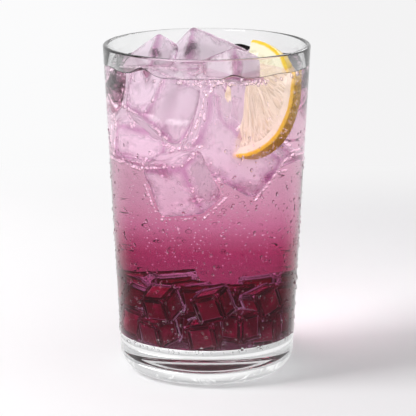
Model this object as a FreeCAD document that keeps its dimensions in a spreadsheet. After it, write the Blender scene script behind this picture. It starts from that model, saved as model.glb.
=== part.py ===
"""A tall tumbler of sparkling grape drink, with jelly cubes, ice and half a wheel of lemon in it.

Millimetres, +Z up. The origin is on the glass's axis, in the plane of its foot, and +X is the side that
the lemon leans on. The lemon's cut face looks towards -Y.

The drink is cut round each thing that stands in it:
  glass         a thick-footed tumbler, a revolved wall with a rounded heel and lip
  drink         what fills it up to its level, with a meniscus along the wall
  jelly_heap    tumbled jelly cubes on the floor of the glass, one solid
  lemon_slice   half a wheel of lemon, its segments a little below the membranes
  ice_left, ice_peak, ice_front, ice_back   the ice cubes that stand out of the drink
"""

import FreeCAD
import Part
import Sketcher

import math
import os
import random

from FreeCAD import Placement, Rotation, Vector

# ---------------------------------------------------------------- driving dimensions, mm and degrees

GLASS_SIZES = [
    ("glass_height", 135.0),  # foot to lip
    ("rim_radius", 42.0),  # outside of the wall at the lip
    ("foot_radius", 35.0),  # outside of the wall, carried down to the foot plane
    ("rim_wall", 2.0),  # wall thickness at the lip
    ("foot_wall", 2.8),  # wall thickness at the floor
    ("floor_thickness", 14.0),  # clear glass under the drink
    ("heel_round", 10.0),  # rounding of the heel
    ("floor_corner", 3.0),  # rounding inside, where wall and floor meet
    ("lip_round", 0.9),  # rounding of each edge of the lip
    ("punt_radius", 23.0),  # hollow under the foot, which leaves a ring to stand on
    ("punt_depth", 0.8),
]

DRINK_SIZES = [
    ("headroom", 9.0),  # from the lip down to the drink
    ("meniscus_rise", 1.1),  # how far the drink climbs the wall
    ("meniscus_run", 1.6),  # and how far in that starts
]

JELLY_SIZES = [
    ("jelly_edge", 11.0),  # one cube of jelly
    ("jelly_bite", 1.2),  # how far resting cubes press into each other
    ("jelly_gap", 0.4),  # between the jelly and the glass
    ("jelly_core_radius", 20.5),  # the middle of the heap, which no side shows
    ("jelly_core_height", 17.0),
]

LEMON_SIZES = [
    ("lemon_radius", 24.0),
    ("lemon_thickness", 6.5),
    ("peel_round", 1.4),  # rounding of the peel's two edges
    ("rind_width", 4.6),  # peel and pith, outside the segments
    ("lemon_core", 2.4),  # white middle of the wheel
    ("membrane_width", 0.8),  # between two segments
    ("segment_sink", 0.3),  # how far a cut segment lies below its membranes
    ("lemon_clear", 1.947),  # from the arc's middle out to the wall, at that height
    ("lemon_side", 8.378),  # how far the straight cut's middle lies to one side of the glass's axis
    ("lemon_drop", 13.3),  # from the drink's level down to that middle
    ("lemon_turn", 38.2),  # the arc swings from +X towards -Y
    ("lemon_lean", 22.2),  # the top leans back, towards +Y
    ("lemon_cant", 2.2),  # the arc side is a little higher
]

# Each piece of ice that stands out of the drink: its three edges, its middle (the direction from the axis,
# how far in from the wall, and the height over the drink's level), and its yaw, pitch and roll.
ICE_VALUES = ("length", "width", "depth", "towards", "inset", "rise", "yaw", "pitch", "roll")
ICE_PIECES = {
    "ice_left": (22.0, 11.6, 21.0, 163.21, 15.241, -2.5, 134.9, 31.7, -140.0),
    "ice_peak": (18.1, 27.0, 22.6, 88.678, 26.47, -3.6, 127.3, 36.0, -148.8),
    "ice_front": (19.5, 15.3, 18.3, -54.224, 22.711, -2.9, 139.6, 22.1, -157.1),
    "ice_back": (11.0, 11.0, 10.0, 45.0, 9.068, -2.6, 30.0, 35.0, 40.0),
}
ICE_SIZES = [("ice_round", 2.2)] + [
    (f"{label}_{value}", number)
    for label, numbers in ICE_PIECES.items()
    for value, number in zip(ICE_VALUES, numbers)
]

# ---------------------------------------------------------------- sizes worked out from those

DRINK_LEVEL = "(sizes.glass_height - sizes.headroom)"
RIM_BORE = "(sizes.rim_radius - sizes.rim_wall)"
FLOOR_BORE = (
    "(sizes.foot_radius + (sizes.rim_radius - sizes.foot_radius)"
    " * sizes.floor_thickness / sizes.glass_height - sizes.foot_wall)"
)

SEGMENTS_IN_WHEEL = 10
WHOLE_SEGMENTS = 4  # the half wheel's two other segments are cut through
FIRST_MEMBRANE = -69.0  # degrees from the middle of the arc
SEGMENT_ANGLE = 360.0 / SEGMENTS_IN_WHEEL

# The heap's rings in the order they fall: how many cubes, the ring's radius as a share of the room, and
# the most that a cube leans, in degrees.
JELLY_RINGS = [(3, 0.30, 8.0), (10, 1.0, 14.0), (3, 0.28, 20.0), (8, 0.97, 32.0)]
JELLY_SEED = 33
JELLY_TRIES = 16  # places tried for each cube, of which the lowest is kept
DROP_STEP = 0.25  # how finely a falling cube is lowered

TOUCH = 1e-4  # what counts as the same place


def bore_at(height):
    """Expression for the inside radius of the wall at a height, itself an expression."""
    share = f"({height} - sizes.floor_thickness) / (sizes.glass_height - sizes.floor_thickness)"
    return f"({FLOOR_BORE} + ({RIM_BORE} - {FLOOR_BORE}) * {share})"


# ---------------------------------------------------------------- helpers


def make_sheet(doc, sizes):
    """The spreadsheet of driving dimensions: name, then value, one row each."""
    sheet = doc.addObject("Spreadsheet::Sheet", "sizes")
    for row, (alias, value) in enumerate(sizes, start=1):
        sheet.set(f"A{row}", alias)
        sheet.set(f"B{row}", str(value))
        sheet.setAlias(f"B{row}", alias)
    doc.recompute()
    return sheet


def origin_plane(body, role):
    """The body's own XY_Plane, XZ_Plane or YZ_Plane."""
    return next(f for f in body.Origin.OriginFeatures if f.Role == role)


def outline_sketch(body, name, role, corners):
    """A closed sketch of straight lines through corners, each a pair of expressions. A coordinate of "0"
    puts the corner on that axis."""
    sketch = body.newObject("Sketcher::SketchObject", name)
    sketch.AttachmentSupport = (origin_plane(body, role), "")
    sketch.MapMode = "FlatFace"
    points = [Vector(*(float(sketch.evalExpression(c)) for c in corner), 0) for corner in corners]
    count = len(points)
    for i in range(count):
        sketch.addGeometry(Part.LineSegment(points[i], points[(i + 1) % count]), False)
    for i in range(count):
        sketch.addConstraint(Sketcher.Constraint("Coincident", i, 2, (i + 1) % count, 1))
    for i, corner in enumerate(corners):
        for kind, axis, expression in (("DistanceX", -2, corner[0]), ("DistanceY", -1, corner[1])):
            if expression == "0":
                sketch.addConstraint(Sketcher.Constraint("PointOnObject", i, 1, axis))
            else:
                value = float(sketch.evalExpression(expression))
                index = sketch.addConstraint(Sketcher.Constraint(kind, -1, 1, i, 1, value))
                sketch.setExpression(f"Constraints[{index}]", expression)
    return sketch


def revolve(body, name, sketch):
    """The sketch turned once round the vertical axis."""
    turned = body.newObject("PartDesign::Revolution", name)
    turned.Profile = sketch
    turned.ReferenceAxis = (sketch, ["V_Axis"])
    turned.Angle = 360
    body.Document.recompute()
    return turned


def ring_edges(feature, radius, height):
    """Names of the feature's round edges at a radius and height, both expressions."""
    radius, height = (float(feature.evalExpression(e)) for e in (radius, height))
    return [
        f"Edge{number}"
        for number, edge in enumerate(feature.Shape.Edges, start=1)
        if isinstance(edge.Curve, Part.Circle)
        and abs(edge.Curve.Radius - radius) < TOUCH
        and abs(edge.Curve.Center.z - height) < TOUCH
    ]


def round_edges(body, name, feature, edges, radius):
    """A fillet of the named edges, its radius an expression."""
    fillet = body.newObject("PartDesign::Fillet", name)
    fillet.Base = (feature, edges)
    fillet.setExpression("Radius", radius)
    body.Document.recompute()
    return fillet


def place(piece, x, y, z, yaw, pitch, roll):
    """Binds a piece's placement to expressions."""
    vector = f"create(<<vector>>; {x}; {y}; {z})"
    rotation = f"create(<<rotation>>; {yaw}; {pitch}; {roll})"
    piece.setExpression("Placement", f"create(<<placement>>; {vector}; {rotation})")


# ---------------------------------------------------------------- the glass and the drink


def make_glass(doc):
    """The tumbler: an outline of wall, floor and foot turned round the axis, then rounded."""
    body = doc.addObject("PartDesign::Body", "glass")
    corners = [
        ("0", "sizes.punt_depth"),
        ("sizes.punt_radius - sizes.punt_depth", "sizes.punt_depth"),
        ("sizes.punt_radius", "0"),
        ("sizes.foot_radius", "0"),
        ("sizes.rim_radius", "sizes.glass_height"),
        (RIM_BORE, "sizes.glass_height"),
        (FLOOR_BORE, "sizes.floor_thickness"),
        ("0", "sizes.floor_thickness"),
    ]
    tip = revolve(body, "glass_wall", outline_sketch(body, "glass_outline", "XZ_Plane", corners))
    roundings = [
        ("glass_heel", "sizes.foot_radius", "0", "sizes.heel_round"),
        ("glass_floor", FLOOR_BORE, "sizes.floor_thickness", "sizes.floor_corner"),
        ("glass_lip_outside", "sizes.rim_radius", "sizes.glass_height", "sizes.lip_round"),
        ("glass_lip_inside", RIM_BORE, "sizes.glass_height", "sizes.lip_round"),
    ]
    for name, radius, height, rounding in roundings:
        tip = round_edges(body, name, tip, ring_edges(tip, radius, height), rounding)
    return body


def make_drink(doc, standing):
    """The drink: all that the glass holds up to its level, less the pieces that stand in it."""
    body = doc.addObject("PartDesign::Body", "drink_fill")
    top = f"({DRINK_LEVEL} + sizes.meniscus_rise)"
    corners = [
        ("0", "sizes.floor_thickness"),
        (FLOOR_BORE, "sizes.floor_thickness"),
        (bore_at(top), top),
        (f"{bore_at(DRINK_LEVEL)} - sizes.meniscus_run", DRINK_LEVEL),
        ("0", DRINK_LEVEL),
    ]
    fill = revolve(body, "drink_body", outline_sketch(body, "drink_outline", "XZ_Plane", corners))
    floor_ring = ring_edges(fill, FLOOR_BORE, "sizes.floor_thickness")
    round_edges(body, "drink_floor", fill, floor_ring, "sizes.floor_corner")

    drink = body
    for piece in standing:
        cut = doc.addObject("Part::Cut", f"drink_round_{piece.Label}")
        cut.Base = drink
        cut.Tool = piece
        drink = cut
    drink.Label = "drink"
    return drink


# ---------------------------------------------------------------- the ice


def make_ice(doc, label):
    """One piece of ice with rounded edges, its middle at its own origin, placed from the wall inwards."""
    values = (f"sizes.{label}_{value}" for value in ICE_VALUES)
    length, width, depth, towards, inset, rise, *turns = values
    body = doc.addObject("PartDesign::Body", label)
    corners = [
        (f"-{length} / 2", f"-{width} / 2"),
        (f"{length} / 2", f"-{width} / 2"),
        (f"{length} / 2", f"{width} / 2"),
        (f"-{length} / 2", f"{width} / 2"),
    ]
    block = body.newObject("PartDesign::Pad", f"{label}_block")
    block.Profile = outline_sketch(body, f"{label}_outline", "XY_Plane", corners)
    block.Midplane = True
    block.setExpression("Length", depth)
    doc.recompute()
    every_edge = [f"Edge{number}" for number in range(1, len(block.Shape.Edges) + 1)]
    round_edges(body, f"{label}_round", block, every_edge, "sizes.ice_round")
    out = f"({bore_at(DRINK_LEVEL)} - {inset})"
    place(body, f"{out} * cos({towards})", f"{out} * sin({towards})", f"{DRINK_LEVEL} + {rise}", *turns)
    return body


# ---------------------------------------------------------------- the lemon


def polar(radius, degrees):
    """A point of a sketch, from its distance to the origin and its direction."""
    return Vector(radius * math.cos(math.radians(degrees)), radius * math.sin(math.radians(degrees)), 0)


def half_wheel_sketch(body):
    """Half a disc: the straight cut along Y, and the arc on the +X side."""
    sketch = body.newObject("Sketcher::SketchObject", "lemon_outline")
    sketch.AttachmentSupport = (origin_plane(body, "XY_Plane"), "")
    sketch.MapMode = "FlatFace"
    radius = float(sketch.evalExpression("sizes.lemon_radius"))
    circle = Part.Circle(Vector(0, 0, 0), Vector(0, 0, 1), radius)
    sketch.addGeometry(Part.ArcOfCircle(circle, -math.pi / 2, math.pi / 2), False)
    sketch.addGeometry(Part.LineSegment(polar(radius, 90), polar(radius, -90)), False)
    sketch.addConstraint(Sketcher.Constraint("Coincident", 0, 3, -1, 1))
    sketch.addConstraint(Sketcher.Constraint("Coincident", 0, 2, 1, 1))
    sketch.addConstraint(Sketcher.Constraint("Coincident", 0, 1, 1, 2))
    sketch.addConstraint(Sketcher.Constraint("Vertical", 1))
    index = sketch.addConstraint(Sketcher.Constraint("Radius", 0, radius))
    sketch.setExpression(f"Constraints[{index}]", "sizes.lemon_radius")
    return sketch


def segment_face(sheet, height, turn):
    """One segment's outline, between two membranes, from the core to the pith."""
    inner = sheet.lemon_core
    outer = sheet.lemon_radius - sheet.rind_width
    half_membrane = sheet.membrane_width / 2

    def edge_angle(radius):
        return SEGMENT_ANGLE / 2 - math.degrees(math.asin(half_membrane / radius))

    near, far = edge_angle(inner), edge_angle(outer)
    corners = [polar(inner, -near), polar(outer, -far), polar(outer, far), polar(inner, near)]
    outline = Part.Wire(
        [
            Part.LineSegment(corners[0], corners[1]).toShape(),
            Part.Arc(corners[1], polar(outer, 0), corners[2]).toShape(),
            Part.LineSegment(corners[2], corners[3]).toShape(),
            Part.LineSegment(corners[3], corners[0]).toShape(),
        ]
    )
    face = Part.Face(outline)
    face.Placement = Placement(Vector(0, 0, height), Rotation(Vector(0, 0, 1), turn))
    return face


def make_lemon(doc, sheet):
    """Half a wheel of lemon, with each whole segment sunk a little into both cut faces."""
    body = doc.addObject("PartDesign::Body", "lemon_wheel")
    disc = body.newObject("PartDesign::Pad", "lemon_disc")
    disc.Profile = half_wheel_sketch(body)
    disc.Midplane = True
    disc.setExpression("Length", "sizes.lemon_thickness")
    doc.recompute()
    half = "sizes.lemon_thickness / 2"
    peel = ring_edges(disc, "sizes.lemon_radius", half) + ring_edges(disc, "sizes.lemon_radius", f"-{half}")
    round_edges(body, "lemon_peel", disc, peel, "sizes.peel_round")

    sink = sheet.segment_sink
    pulp = []
    for number in range(WHOLE_SEGMENTS):
        turn = FIRST_MEMBRANE + (number + 0.5) * SEGMENT_ANGLE
        for start in (sheet.lemon_thickness / 2 - sink, -sheet.lemon_thickness / 2):
            pulp.append(segment_face(sheet, start, turn).extrude(Vector(0, 0, sink)))
    segments = doc.addObject("Part::Feature", "lemon_segments")
    segments.Shape = Part.makeCompound(pulp)

    lemon = doc.addObject("Part::Cut", "lemon_slice")
    lemon.Base = body
    lemon.Tool = segments
    height = f"({DRINK_LEVEL} - sizes.lemon_drop)"
    out = f"({bore_at(height)} - sizes.lemon_clear - sizes.lemon_radius)"
    along, across = "cos(sizes.lemon_turn)", "sin(sizes.lemon_turn)"
    x = f"{out} * {along} + sizes.lemon_side * {across}"
    y = f"sizes.lemon_side * {along} - {out} * {across}"
    place(lemon, x, y, height, "-sizes.lemon_turn", "-sizes.lemon_cant", "90 - sizes.lemon_lean")
    return lemon


# ---------------------------------------------------------------- the jelly


class Cube:
    """A tumbled cube of jelly: its middle, its three face directions and half its edge."""

    def __init__(self, middle, rotation, half):
        self.middle = middle
        self.rotation = rotation
        self.half = half
        self.axes = [rotation.multVec(Vector(*axis)) for axis in ((1, 0, 0), (0, 1, 0), (0, 0, 1))]

    def corners(self):
        """Its eight corners."""
        signs = [(a, b, c) for a in (-1, 1) for b in (-1, 1) for c in (-1, 1)]
        return [
            self.middle + (self.axes[0] * a + self.axes[1] * b + self.axes[2] * c) * self.half
            for a, b, c in signs
        ]

    def reach(self, direction):
        """How far it extends from its middle along a direction."""
        return self.half * sum(abs(axis.dot(direction)) for axis in self.axes)

    def meets(self, other, bite):
        """True if the two press into each other by more than bite: no direction parts them."""
        between = other.middle - self.middle
        if between.Length > math.sqrt(3) * (self.half + other.half):
            return False
        directions = self.axes + other.axes
        directions += [a.cross(b) for a in self.axes for b in other.axes]
        for direction in directions:
            if direction.Length < TOUCH:
                continue
            unit = direction / direction.Length
            if abs(between.dot(unit)) > self.reach(unit) + other.reach(unit) - bite:
                return False
        return True

    def solid(self):
        """The cube as a Part solid."""
        edge = 2 * self.half
        box = Part.makeBox(edge, edge, edge, Vector(-self.half, -self.half, -self.half))
        box.Placement = Placement(self.middle, self.rotation)
        return box


def room_at(sheet, height):
    """Inside radius of the glass at a height over its floor's plane, the rounded corner included."""
    floor, corner = sheet.floor_thickness, sheet.floor_corner
    rise = max(height - floor, 0.0)
    floor_bore = float(sheet.evalExpression(FLOOR_BORE))
    rim_bore = float(sheet.evalExpression(RIM_BORE))
    wall = floor_bore + (rim_bore - floor_bore) * rise / (sheet.glass_height - floor)
    if rise >= corner:
        return wall
    return wall - corner + math.sqrt(corner**2 - (corner - rise) ** 2)


def pull_inside(sheet, cube):
    """Moves a cube towards the axis until every corner clears the wall."""
    for corner in cube.corners():
        over = math.hypot(corner.x, corner.y) - (room_at(sheet, corner.z) - sheet.jelly_gap)
        if over > 0:
            cube.middle -= Vector(corner.x, corner.y, 0).normalize() * over


def drop(sheet, cube, settled):
    """Lowers a cube until it stands just over the floor or presses onto a settled one."""
    floor = sheet.floor_thickness + sheet.jelly_gap
    while min(corner.z for corner in cube.corners()) > floor:
        cube.middle.z -= DROP_STEP
        if any(cube.meets(other, sheet.jelly_bite) for other in settled):
            cube.middle.z += DROP_STEP
            break
    cube.middle.z += max(0.0, floor - min(corner.z for corner in cube.corners()))
    pull_inside(sheet, cube)


def tumbled_cubes(sheet):
    """The jelly cubes, dropped ring by ring onto those below them."""
    chance = random.Random(JELLY_SEED)
    half = sheet.jelly_edge / 2
    start = sheet.floor_thickness + 4 * sheet.jelly_edge
    room = room_at(sheet, sheet.floor_thickness + sheet.jelly_edge) - 1.3 * half

    def falling_cube(share, most_lean, turn):
        """A cube above its place in the ring, leaning by chance."""
        lean, tip = (chance.uniform(-most_lean, most_lean) for _ in range(2))
        middle = Vector(share * room * math.cos(turn), share * room * math.sin(turn), start)
        return Cube(middle, Rotation(math.degrees(turn) + chance.uniform(-30.0, 30.0), lean, tip), half)

    settled = []
    for count, share, most_lean in JELLY_RINGS:
        for number in range(count):
            tries = []
            for _ in range(JELLY_TRIES):
                turn = math.tau * (number + chance.uniform(-0.5, 0.5)) / count
                cube = falling_cube(share, most_lean, turn)
                pull_inside(sheet, cube)
                drop(sheet, cube, settled)
                tries.append(cube)
            settled.append(min(tries, key=lambda cube: cube.middle.z))
    return settled


def make_jelly(doc, sheet):
    """The heap: the tumbled cubes and the core they lie against, as one solid."""
    core = doc.addObject("Part::Cylinder", "jelly_core")
    core.setExpression("Radius", "sizes.jelly_core_radius")
    core.setExpression("Height", "sizes.jelly_core_height")
    core.setExpression("Placement.Base.z", "sizes.floor_thickness + sizes.jelly_gap")
    doc.recompute()
    heap = doc.addObject("Part::Feature", "jelly_heap")
    heap.Shape = core.Shape.multiFuse([cube.solid() for cube in tumbled_cubes(sheet)])
    return heap


# ---------------------------------------------------------------- the document


def check(doc, pieces):
    """Stops if any object failed, or if a piece isn't one valid solid."""
    for item in doc.Objects:
        if {"Invalid", "Error"} & set(item.State):
            raise RuntimeError(f"{item.Label} failed: {item.State}")
    for piece in pieces:
        shape = piece.Shape
        if shape.isNull() or not shape.isValid() or len(shape.Solids) != 1:
            raise RuntimeError(f"{piece.Label} isn't one valid solid")


def main():
    """Builds every piece and writes each to parts/LABEL.step."""
    doc = FreeCAD.newDocument("grape_jelly_drink")
    sheet = make_sheet(doc, GLASS_SIZES + DRINK_SIZES + JELLY_SIZES + LEMON_SIZES + ICE_SIZES)
    glass = make_glass(doc)
    ice = [make_ice(doc, label) for label in ICE_PIECES]
    lemon = make_lemon(doc, sheet)
    jelly = make_jelly(doc, sheet)
    doc.recompute()
    drink = make_drink(doc, [*ice, lemon, jelly])
    doc.recompute()

    pieces = [glass, drink, jelly, lemon, *ice]
    check(doc, pieces)
    os.makedirs("parts", exist_ok=True)
    for piece in pieces:
        piece.Shape.exportStep(f"parts/{piece.Label}.step")
        box = piece.Shape.BoundBox
        print(
            f"{piece.Label:12s} {piece.Shape.Volume / 1000:8.2f} cm3   "
            f"{box.XLength:6.1f} x {box.YLength:6.1f} x {box.ZLength:6.1f} mm, top at {box.ZMax:6.1f}"
        )


main()
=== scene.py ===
"""A tall tumbler of sparkling grape drink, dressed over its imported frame.

The frame's glass, drink, jelly, lemon and standing ice are replaced by finished pieces of the same size and
place. The ice that is wholly sunk, the bubbles and the dew on the glass have no solids and are added here,
and so is a thin pale skin in the foot, which stands for the light that a thick foot gathers.
Lengths in the classes are millimetres, as in the part's own drawing. Meshes are in metres.
"""

import logging
import math
import random
from collections.abc import Iterable
from dataclasses import dataclass, field
from enum import Enum

import bmesh
import bpy
from mathutils import Euler, Matrix, Vector, noise


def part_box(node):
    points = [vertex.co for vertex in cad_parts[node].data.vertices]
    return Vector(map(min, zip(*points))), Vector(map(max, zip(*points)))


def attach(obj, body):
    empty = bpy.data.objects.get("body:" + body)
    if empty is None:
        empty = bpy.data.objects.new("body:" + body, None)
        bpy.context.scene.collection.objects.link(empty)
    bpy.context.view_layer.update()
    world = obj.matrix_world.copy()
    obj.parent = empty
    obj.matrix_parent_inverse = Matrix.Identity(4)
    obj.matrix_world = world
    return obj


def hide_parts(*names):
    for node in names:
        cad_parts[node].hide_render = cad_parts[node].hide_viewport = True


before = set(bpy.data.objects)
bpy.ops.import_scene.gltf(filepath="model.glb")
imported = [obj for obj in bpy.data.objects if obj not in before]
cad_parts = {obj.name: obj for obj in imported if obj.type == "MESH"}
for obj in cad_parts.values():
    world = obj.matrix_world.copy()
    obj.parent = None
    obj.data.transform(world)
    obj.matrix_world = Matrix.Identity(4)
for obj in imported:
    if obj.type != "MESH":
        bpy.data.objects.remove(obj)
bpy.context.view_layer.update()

MM = 0.001
BODY = "root"
DRESSED: list[str] = []
Point = tuple[float, float]
Span = tuple[float, float]
Triple = tuple[float, float, float]
Colour = Triple
BLACK: Colour = (0.0, 0.0, 0.0)
# how far towards the back a direction points where smooth surfaces begin to mirror the bright surround
BRIGHT_BEHIND: Span = (0.1, 0.75)

log = logging.getLogger("grape_drink")


# ---------------------------------------------------------------- sizes taken from the frame


def node_top(node: str) -> float:
    """Highest point of a frame node, in millimetres."""
    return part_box(node)[1][2] / MM


GLASS_HEIGHT = node_top("glass")
RIM_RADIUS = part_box("glass")[1][0] / MM


class Bending(Enum):
    """How strongly each clear thing bends light, against what lies round it."""

    GLASS = 1.5
    DRINK = 1.335
    DEW = 1.33
    ICE = 1.31
    SUNK_ICE = 1.06
    BUBBLE = 1.0 / DRINK


# ---------------------------------------------------------------- shader graphs


class Wire:
    """A shader socket that Python's operators add Math nodes to."""

    def __init__(self, graph: "Graph", socket: bpy.types.NodeSocket) -> None:
        """Keeps the socket and the graph that it is in."""
        self.graph = graph
        self.socket = socket

    def maths(self, operation: str, *others: "Wire | float") -> "Wire":
        """A Math node on this wire and the others.

        Args:
            operation: the Math node's operation.
            others: its other inputs, in order.

        Returns:
            The node's value.
        """
        sockets = dict(enumerate((self, *others)))
        return self.graph.add("ShaderNodeMath", {"operation": operation}, sockets)["Value"]

    def __add__(self, other: "Wire | float") -> "Wire":
        """The sum."""
        return self.maths("ADD", other)

    def __mul__(self, other: "Wire | float") -> "Wire":
        """The product."""
        return self.maths("MULTIPLY", other)

    def __sub__(self, other: "Wire | float") -> "Wire":
        """The difference."""
        return self.maths("SUBTRACT", other)

    def __rsub__(self, other: float) -> "Wire":
        """The difference, taken from a number."""
        return self * -1.0 + other

    def __truediv__(self, other: float) -> "Wire":
        """The wire over a number."""
        return self.maths("DIVIDE", other)

    def __pow__(self, other: float) -> "Wire":
        """The wire raised to a number."""
        return self.maths("POWER", other)

    __radd__ = __add__
    __rmul__ = __mul__

    def step(self, low: float, high: float) -> "Wire":
        """Smoothly from 0 at low to 1 at high."""
        settings = {"interpolation_type": "SMOOTHSTEP"}
        sockets = {"Value": self, "From Min": low, "From Max": high}
        return self.graph.add("ShaderNodeMapRange", settings, sockets)["Result"]


class NodeOutputs:
    """A node whose outputs are read as wires, by name."""

    def __init__(self, graph: "Graph", node: bpy.types.Node) -> None:
        """Keeps the node and the graph that it is in."""
        self.graph = graph
        self.node = node

    def __getitem__(self, name: str) -> Wire:
        """The wire of the output with that name."""
        return Wire(self.graph, self.node.outputs[name])


class Graph:
    """The node tree of a material or a world."""

    def __init__(self, tree: bpy.types.NodeTree) -> None:
        """Empties the tree."""
        self.tree = tree
        tree.nodes.clear()

    def add(self, kind: str, settings: dict | None = None, sockets: dict | None = None) -> NodeOutputs:
        """Adds a node.

        Args:
            kind: the node's type.
            settings: its own settings, set first. "stops" gives a colour ramp's places and colours.
            sockets: values or wires for its inputs, by name or number.

        Returns:
            The node's outputs.
        """
        node = self.tree.nodes.new(kind)
        for name, value in (settings or {}).items():
            if name == "stops":
                self.set_stops(node.color_ramp, value)
            else:
                setattr(node, name, value)
        for key, value in (sockets or {}).items():
            if isinstance(value, Wire):
                self.tree.links.new(value.socket, node.inputs[key])
            else:
                node.inputs[key].default_value = value
        return NodeOutputs(self, node)

    @staticmethod
    def set_stops(ramp: bpy.types.ColorRamp, stops: list[tuple[float, Colour]]) -> None:
        """Gives a colour ramp its places and colours."""
        while len(ramp.elements) < len(stops):
            ramp.elements.new(1.0)
        for element, (place, colour) in zip(ramp.elements, stops):
            element.position = place
            element.color = (*colour, 1.0)

    def place(self) -> Wire:
        """Object coordinates, in metres."""
        return self.add("ShaderNodeTexCoord")["Object"]

    def axis(self, vector: Wire, name: str) -> Wire:
        """One coordinate of a vector."""
        return self.add("ShaderNodeSeparateXYZ", sockets={"Vector": vector})[name]

    def noise(self, vector: Wire, scale: float, detail: float = 2.0, twist: float = 0.0) -> Wire:
        """A noise between 0 and 1."""
        sockets = {"Vector": vector, "Scale": scale, "Detail": detail, "Distortion": twist}
        return self.add("ShaderNodeTexNoise", sockets=sockets)["Fac"]

    def cells(self, vector: Wire, scale: float, feature: str = "F1") -> Wire:
        """Distance to the nearest of scattered points, or to the border between their cells."""
        sockets = {"Vector": vector, "Scale": scale}
        return self.add("ShaderNodeTexVoronoi", {"feature": feature}, sockets)["Distance"]

    def blend(self, factor: Wire | float, first: Wire | Colour, second: Wire | Colour) -> Wire:
        """A colour between two."""
        node = self.add("ShaderNodeMix", {"data_type": "RGBA"})
        for number, value in ((0, factor), (6, first), (7, second)):
            socket = node.node.inputs[number]
            if isinstance(value, Wire):
                self.tree.links.new(value.socket, socket)
            else:
                socket.default_value = (*value, 1.0) if isinstance(value, tuple) else value
        return Wire(self, node.node.outputs[2])

    def reflected(self) -> Wire:
        """1 for light that a smooth surface has thrown back on its way, and 0 for all other."""
        path = self.add("ShaderNodeLightPath")
        return path["Glossy Depth"].maths("MINIMUM", 1.0) * (1.0 - path["Is Diffuse Ray"])

    def attribute(self, name: str, output: str = "Fac") -> Wire:
        """A value that the mesh carries."""
        return self.add("ShaderNodeAttribute", {"attribute_name": name})[output]

    def mix(self, factor: Wire | float, first: Wire, second: Wire) -> Wire:
        """A shader between two."""
        return self.add("ShaderNodeMixShader", sockets={0: factor, 1: first, 2: second})["Shader"]

    def principled(self, sockets: dict) -> Wire:
        """A Principled surface."""
        return self.add("ShaderNodeBsdfPrincipled", sockets=sockets)["BSDF"]

    def see_through(self, tint: Wire | tuple, bending: Bending, more: dict | None = None) -> Wire:
        """A smooth clear surface.

        Args:
            tint: its colour.
            bending: how strongly it bends light.
            more: further sockets, used in place of the plain ones where both name the same.

        Returns:
            Its shader.
        """
        plain = {"Base Color": tint, "Roughness": 0.0, "IOR": bending.value, "Transmission Weight": 1.0}
        return self.principled({**plain, **(more or {})})

    def bump(self, height: Wire, depth: float) -> Wire:
        """A normal bumped by a height, whose range of 1 is depth metres."""
        sockets = {"Height": height, "Distance": depth, "Strength": 1.0}
        return self.add("ShaderNodeBump", sockets=sockets)["Normal"]


# ---------------------------------------------------------------- finishes


@dataclass(frozen=True)
class Finish:
    """A named surface that a piece is dressed in."""

    name: str

    def surface(self, graph: Graph) -> Wire:
        """The shader of the surface."""
        raise NotImplementedError

    def material(self) -> bpy.types.Material:
        """The material, made the first time that it is asked for."""
        made = bpy.data.materials.get(self.name)
        if made is None:
            made = bpy.data.materials.new(self.name)
            made.use_nodes = True
            graph = Graph(made.node_tree)
            graph.add("ShaderNodeOutputMaterial", sockets={"Surface": self.surface(graph)})
        return made


@dataclass(frozen=True)
class ClearGlass(Finish):
    """Clear glass with painted shade: darker where it is seen edge on, grey waves at both ends of its foot,
    and a dark line where it stands.
    """

    clear: Colour = (0.985, 0.99, 0.99)
    painted_edge_shade: Colour = (0.84, 0.84, 0.85)
    # painted shade: grey at both ends of the foot and along the line where it stands
    painted_foot_shade: Colour = (0.50, 0.50, 0.51)
    # how far the surface is turned away where the painted edge shade, and the painted shade of the foot,
    # begin and are full
    edge_shade_turn: Span = (0.86, 0.995)
    foot_shade_turn: Span = (0.30, 0.50)
    # millimetres: where the painted shade of the foot fades out, and the height and radius of the painted
    # dark line where it stands on the table
    foot_shade_top: Span = (10.0, 12.0)
    contact_shade_top: Span = (0.3, 1.0)
    contact_shade_radius: Span = (31.4, 31.9)
    wave_scale: float = 110.0
    wave_span: Span = (0.34, 0.50)

    def surface(self, graph: Graph) -> Wire:
        """Smooth glass with painted shade on its grazing edge, on the ends of its foot and along the line
        where it stands.
        """
        facing = graph.add("ShaderNodeLayerWeight", sockets={"Blend": 0.5})["Facing"]
        # painted shade: the glass darkens where it is seen edge on
        tint = graph.blend(facing.step(*self.edge_shade_turn), self.clear, self.painted_edge_shade)
        place = graph.place()
        x, y, height = (graph.axis(place, name) / MM for name in "XYZ")
        away = (x * x + y * y) ** 0.5
        waves = graph.noise(place, self.wave_scale, 2.0, 1.5).step(*self.wave_span)
        # painted shade: grey waves at both ends of the foot
        ends = facing.step(*self.foot_shade_turn) * (1.0 - height.step(*self.foot_shade_top)) * waves
        # painted shade: a dark line round the foot where the glass stands on the table
        line = (1.0 - height.step(*self.contact_shade_top)) * away.step(*self.contact_shade_radius)
        tint = graph.blend(ends.maths("MAXIMUM", line), tint, self.painted_foot_shade)
        return graph.see_through(tint, Bending.GLASS)


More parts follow.
